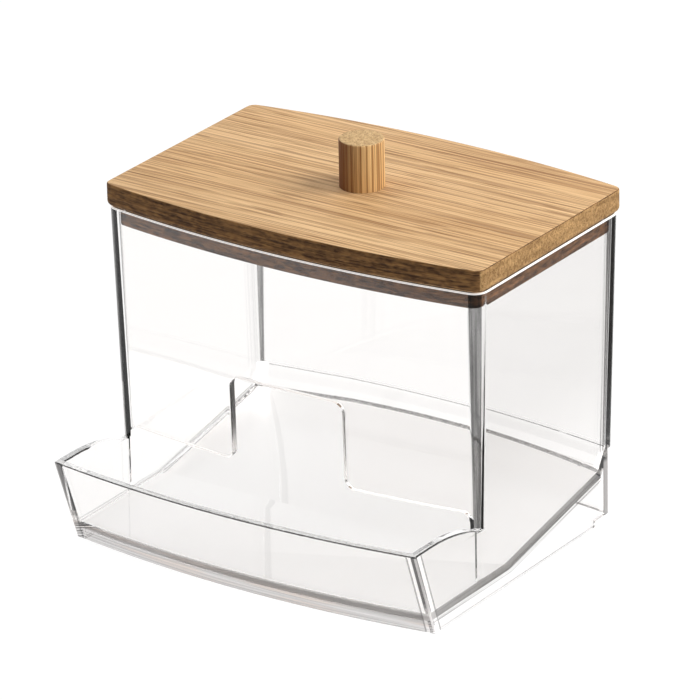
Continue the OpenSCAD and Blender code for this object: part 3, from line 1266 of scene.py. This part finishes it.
@dataclass
class Lid:
    """The bamboo board with its step, and the dowel knob, in millimetres."""

    middle_y: float
    rim: BowedRing
    overhang: float = 0.25
    rim_height: float = 89.2
    edge: float = 6.6
    plug_depth: float = 5.3
    plug_inset: float = 2.9
    plug_corner: float = 2.5
    corner: float = 2.6
    under_round: float = 1.6
    top_round: float = 0.45
    plug_round: float = 0.6
    knob_radius: float = 6.15
    knob_height: float = 13.6
    seat_depth: float = 6.0
    seat_play: float = 0.05
    knob_round: float = 0.5
    bamboo: Bamboo = field(default_factory=Bamboo)
    dowel: Dowel = field(default_factory=Dowel)

    def _levels(self) -> list[tuple[BowedRing, float]]:
        """The rings of the board from the step's underside to its top.

        Returns:
            Rings and their heights.
        """
        outer = self.rim.grown(self.overhang).with_corner(self.corner)
        plug = self.rim.grown(-self.plug_inset).with_corner(self.plug_corner)
        low, top = self.rim_height, self.rim_height + self.edge
        levels = [
            (plug.grown(-self.plug_round), low - self.plug_depth),
            (plug.grown(-0.3 * self.plug_round), low - self.plug_depth + 0.3 * self.plug_round),
            (plug, low - self.plug_depth + self.plug_round),
            (plug, low),
        ]
        for step in range(7):
            angle = math.pi / 2 * step / 6
            inset = self.under_round * (1 - math.sin(angle))
            levels.append((outer.grown(-inset), low + self.under_round * (1 - math.cos(angle))))
        for step in range(4):
            angle = math.pi / 2 * step / 3
            inset = self.top_round * (1 - math.cos(angle))
            levels.append((outer.grown(-inset), top - self.top_round * (1 - math.sin(angle))))
        return levels

    def board(self) -> bpy.types.Object:
        """Builds and dresses the board.

        Returns:
            The piece.
        """
        piece = stacked(self._levels(), "lid_board_piece")
        top = self.rim_height + self.edge
        Bench.work(piece, self._cylinder(self.knob_radius + self.seat_play, top - self.seat_depth, top + 1), Join.CUT)
        self._place(piece)
        for face in BoardFace:
            piece.data.materials.append(self.bamboo.material(face))
        order = list(BoardFace)
        for face in piece.data.polygons:
            face.material_index = order.index(self._kind(face))
        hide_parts("lid_board")
        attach(piece, "lid")
        return piece

    def _kind(self, face: bpy.types.MeshPolygon) -> BoardFace:
        """How a face meets the fibres.

        Args:
            face: a face of the placed board.

        Returns:
            The kind of face.
        """
        normal = face.normal
        if face.center.z < (self.rim_height - 0.05) * MM and abs(normal.z) < 0.9:
            return BoardFace.STEP
        if abs(normal.z) > 0.72:
            return BoardFace.TOP
        return BoardFace.END if abs(normal.x) > 0.72 else BoardFace.LONG_EDGE

    @staticmethod
    def _cylinder(radius: float, low: float, high: float) -> bpy.types.Object:
        """An upright round bar in the middle.

        Args:
            radius: its radius.
            low: its underside.
            high: its top.

        Returns:
            The solid.
        """
        bm = bmesh.new()
        place = Matrix.Translation((0, 0, (low + high) / 2))
        bmesh.ops.create_cone(
            bm, cap_ends=True, segments=96, radius1=radius, radius2=radius, depth=high - low, matrix=place
        )
        return Bench.solid(bm, "bar")

    def knob(self) -> bpy.types.Object:
        """Builds and dresses the knob.

        Returns:
            The piece.
        """
        top = self.rim_height + self.edge
        piece = self._cylinder(self.knob_radius, top - self.seat_depth, top + self.knob_height)
        piece.name = "lid_knob_piece"
        bevel = piece.modifiers.new("eased", "BEVEL")
        bevel.width = self.knob_round
        bevel.segments = 4
        bevel.profile = 0.5
        bevel.limit_method = "ANGLE"
        bevel.angle_limit = math.radians(50)
        Bench.settle(piece)
        self._place(piece)
        piece.data.materials.append(self.dowel.side())
        piece.data.materials.append(self.dowel.end())
        for face in piece.data.polygons:
            face.material_index = 1 if abs(face.normal.z) > 0.8 else 0
        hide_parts("lid_knob")
        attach(piece, "lid")
        return piece

    def _place(self, piece: bpy.types.Object) -> None:
        """Brings a piece from millimetres about the middle to the frame.

        Args:
            piece: the piece.
        """
        bm = bmesh.new()
        bm.from_mesh(piece.data)
        bmesh.ops.scale(bm, vec=(MM, MM, MM), verts=bm.verts)
        bmesh.ops.translate(bm, vec=(0, self.middle_y, 0), verts=bm.verts)
        bm.to_mesh(piece.data)
        bm.free()
        piece.data.shade_smooth()
        piece.data.set_sharp_from_angle(angle=math.radians(38))


# ------------------------------------------------------------------- the studio


@dataclass
class Studio:
    """The floor, the light and the camera."""

    target: Vector
    azimuth: float = 0.601713
    elevation: float = 0.403074
    roll: float = -0.019559
    distance: float = 1.734848
    aside: float = 0.003265342
    above: float = 0.044044489
    focal_pixels: float = 6500.0
    frame_pixels: float = 700.0
    floor_colour: Colour = (0.86, 0.86, 0.855)
    # Dark colours and their spans along X and Y, in metres, for the painted reflections on the floor.
    painted_reflection_right: Colour = (0.22, 0.21, 0.205)
    painted_reflection_right_span: Point = (0.07, 0.12)
    painted_reflection_front: Colour = (0.2, 0.19, 0.185)
    painted_reflection_front_span: Point = (-0.185, -0.205)

    def camera(self) -> bpy.types.Object:
        """Sets the camera up at the photograph's angle.

        Returns:
            The camera.
        """
        az, el = self.azimuth, self.elevation
        back = Vector((math.sin(az) * math.cos(el), -math.cos(az) * math.cos(el), math.sin(el)))
        right = Vector((math.cos(az), math.sin(az), 0))
        up = back.cross(right)
        turned_right = math.cos(self.roll) * right + math.sin(self.roll) * up
        turned_up = math.cos(self.roll) * up - math.sin(self.roll) * right
        place = self.target + self.distance * back - self.aside * turned_right - self.above * turned_up
        data = bpy.data.cameras.new("camera")
        data.sensor_width = 36.0
        data.lens = data.sensor_width * self.focal_pixels / self.frame_pixels
        made = bpy.data.objects.new("camera", data)
        turn = Matrix((turned_right, turned_up, back)).transposed()
        made.matrix_world = Matrix.Translation(place) @ turn.to_4x4()
        bpy.context.scene.collection.objects.link(made)
        bpy.context.scene.camera = made
        return made

    def floor(self) -> bpy.types.Object:
        """Lays the pale floor, plain to the camera; to reflected and refracted rays it shows a dark patch to the
        right, and to reflected rays one ahead, as painted reflections for the clear walls.

        Returns:
            The floor.
        """
        bm = bmesh.new()
        bmesh.ops.create_grid(bm, x_segments=1, y_segments=1, size=4.0)
        mesh = bpy.data.meshes.new("floor")
        bm.to_mesh(mesh)
        bm.free()
        made = bpy.data.objects.new("floor", mesh)
        bpy.context.scene.collection.objects.link(made)
        finish = bpy.data.materials.new("pale_floor")
        finish.use_nodes = True
        maker = NodeMaker(finish.node_tree)
        matt = maker.node("ShaderNodeBsdfDiffuse", {}, {"Color": (*self.floor_colour, 1.0)})
        path = maker.node("ShaderNodeLightPath").outputs
        direct = Signal(maker, path["Is Camera Ray"])
        seen = direct.at_least(Signal(maker, path["Is Glossy Ray"]))
        seen = seen.at_least(Signal(maker, path["Is Transmission Ray"]))
        place = maker.node("ShaderNodeSeparateXYZ", {}, {"Vector": maker.placed((1.0, 1.0, 1.0))}).outputs
        # Painted reflections: the floor turns dark to the right and ahead for rays that are not camera rays.
        aside = Signal(maker, place["X"]).step(*self.painted_reflection_right_span) * (1.0 - direct)
        ahead = Signal(maker, place["Y"]).step(*self.painted_reflection_front_span) * (1.0 - direct)
        ahead = ahead * (1.0 - Signal(maker, path["Is Transmission Ray"]))
        colour = maker.blend(aside, (1.0, 1.0, 1.0), self.painted_reflection_right)
        inputs = {"Color": maker.blend(ahead, colour, self.painted_reflection_front), "Strength": 1.06}
        glow = maker.node("ShaderNodeEmission", {}, inputs)
        inputs = {0: seen * 0.9, 1: matt.outputs[0], 2: glow.outputs[0]}
        maker.surface(maker.node("ShaderNodeMixShader", {}, inputs))
        mesh.materials.append(finish)
        return made

    def light(self) -> None:
        """Hangs the soft lamps and sets the world."""
        lamps = (
            ("key", (0.8, 0.4, 0.8), 0.85, 13.2, (1.0, 0.985, 0.955)),
            ("fill", (-0.5, 0.2, 1.1), 1.2, 6.0, (0.99, 0.99, 0.99)),
        )
        for name, offset, size, power, colour in lamps:
            data = bpy.data.lights.new(name, "AREA")
            data.shape = "DISK"
            data.size = size
            data.energy = power
            data.color = colour
            made = bpy.data.objects.new(name, data)
            made.location = self.target + Vector(offset)
            made.rotation_euler = Vector(offset).to_track_quat("Z", "Y").to_euler()
            bpy.context.scene.collection.objects.link(made)
        world = bpy.data.worlds.new("studio")
        bpy.context.scene.world = world
        world.use_nodes = True
        maker = NodeMaker(world.node_tree)
        path = maker.node("ShaderNodeLightPath").outputs
        seen = Signal(maker, path["Is Camera Ray"]).at_least(Signal(maker, path["Is Glossy Ray"]))
        seen = seen.at_least(Signal(maker, path["Is Transmission Ray"]))
        strength = 0.26 + seen * 0.74
        sky = maker.node("ShaderNodeBackground", {}, {"Color": (1, 1, 1, 1), "Strength": strength})
        maker.surface(sky, "ShaderNodeOutputWorld")
        bpy.context.scene.view_settings.view_transform = "Standard"


def main() -> None:
    """Builds the box, the lid and the studio in turn."""
    logging.basicConfig(level=logging.INFO, format="%(name)s: %(message)s")
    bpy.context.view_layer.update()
    low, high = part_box("lid_board")
    middle_y = (low.y + high.y) / 2
    box = ClearBox(middle_y)
    lid = Lid(middle_y, box.rim)
    builders: tuple[Callable[[], bpy.types.Object], ...] = (box.build, lid.board, lid.knob)
    for build in builders:
        piece = build()
        LOG.info("%s: %d faces", piece.name, len(piece.data.polygons))
    studio = Studio(Vector((0, middle_y, high.z)))
    studio.floor()
    studio.light()
    studio.camera()


if __name__ == "__main__":
    main()
